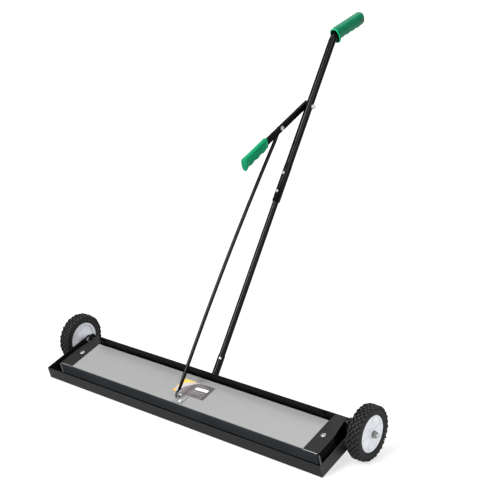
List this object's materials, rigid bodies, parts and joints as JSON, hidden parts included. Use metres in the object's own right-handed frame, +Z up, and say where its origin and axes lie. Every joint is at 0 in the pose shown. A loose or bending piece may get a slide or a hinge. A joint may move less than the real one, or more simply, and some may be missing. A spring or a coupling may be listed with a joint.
{
  "type": "magnetic nail sweeper",
  "caption": "Push-along magnetic floor sweeper: long shallow tray on side wheels, hinged magnet carrier, bent handle and a hand lever whose rod lifts the magnets",
  "frame": {"origin": "middle of the bounding box's footprint, on the floor", "axes": "+X along the wheel axle, +Y from the tray towards the person pushing, +Z up; at rest on both wheels and the tray's front edge"},
  "size_m": [1.148, 0.91, 1.0729],
  "materials": {
    "black_paint": "gloss black powder coat",
    "grey_plate": "smooth light grey steel",
    "zinc_plate": "bright zinc plating",
    "tyre_rubber": "matt black moulded rubber",
    "hub_plastic": "white moulded plastic",
    "green_grip": "satin green dipped vinyl",
    "ferrite": "dull dark grey ceramic",
    "label_vinyl": "printed vinyl film",
    "nylon": "black nylon"
  },
  "bodies": {
    "sweeper_frame": {"tray_pan": "black_paint", "end_plate_right": "black_paint", "end_plate_left": "black_paint", "hinge_bracket_right": "black_paint", "hinge_bracket_left": "black_paint", "hinge_bolt_right": "black_paint", "hinge_bolt_left": "black_paint", "hinge_pin_right": "zinc_plate", "hinge_pin_left": "zinc_plate", "axle_bolt_right": "zinc_plate", "axle_bolt_left": "zinc_plate", "axle_spacer_right": "zinc_plate", "axle_spacer_left": "zinc_plate", "axle_washer_right": "zinc_plate", "axle_washer_left": "zinc_plate", "axle_nut_right": "zinc_plate", "axle_nut_left": "zinc_plate", "handle_bracket": "black_paint", "socket_pin": "zinc_plate", "socket_tube": "black_paint", "lower_tube": "black_paint", "lower_joint_bolt": "zinc_plate", "upper_tube": "black_paint", "upper_joint_bolt_1": "zinc_plate", "upper_joint_bolt_2": "zinc_plate", "main_grip": "green_grip", "pivot_bolt": "zinc_plate"},
    "left_wheel": {"tyre_left": "tyre_rubber", "hub_left": "hub_plastic", "wheel_bush_left": "nylon"},
    "right_wheel": {"tyre_right": "tyre_rubber", "hub_right": "hub_plastic", "wheel_bush_right": "nylon"},
    "magnet_carrier": {"carrier_channel": "black_paint", "carrier_arm_right": "black_paint", "carrier_arm_left": "black_paint", "strap_screw_right": "zinc_plate", "strap_screw_left": "zinc_plate", "top_plate": "grey_plate", "magnet_yoke": "zinc_plate", "magnet_1": "ferrite", "magnet_2": "ferrite", "magnet_3": "ferrite", "magnet_4": "ferrite", "magnet_5": "ferrite", "clevis_bracket": "zinc_plate", "clevis_bolt": "zinc_plate", "clevis_pin": "zinc_plate", "hairpin_clip": "zinc_plate", "label": "label_vinyl"},
    "release_lever": {"lever_bar": "black_paint", "lever_grip": "green_grip", "rod_bolt": "zinc_plate", "rod_nut": "zinc_plate"},
    "lift_rod": {"lift_rod": "black_paint"}
  },
  "joints": [
    {"name": "left_wheel_spin", "type": "hinge", "parent": "sweeper_frame", "child": "left_wheel", "pos_m": [-0.54, -0.28769, 0.0762], "axis": [1, 0, 0], "continuous": true},
    {"name": "right_wheel_spin", "type": "hinge", "parent": "sweeper_frame", "child": "right_wheel", "pos_m": [0.54, -0.28769, 0.0762], "axis": [1, 0, 0], "continuous": true},
    {"name": "carrier_tilt", "type": "hinge", "parent": "sweeper_frame", "child": "magnet_carrier", "pos_m": [0, -0.28756, 0.08569], "axis": [-1, 0, 0], "range_deg": [0, 16]},
    {"name": "lever_pull", "type": "hinge", "parent": "sweeper_frame", "child": "release_lever", "pos_m": [-0.017, 0.1809, 0.80954], "axis": [-1, 0, 0], "range_deg": [0, 18.39]},
    {"name": "rod_swing", "type": "hinge", "parent": "magnet_carrier", "child": "lift_rod", "pos_m": [-0.017, -0.40463, 0.06939], "axis": [-1, 0, 0], "range_deg": [-16.88, 0]}
  ],
  "couplings": [
    {"joint": "lever_pull", "follows": "carrier_tilt", "ratio": 1.1486},
    {"joint": "rod_swing", "follows": "carrier_tilt", "ratio": -1.0545}
  ]
}
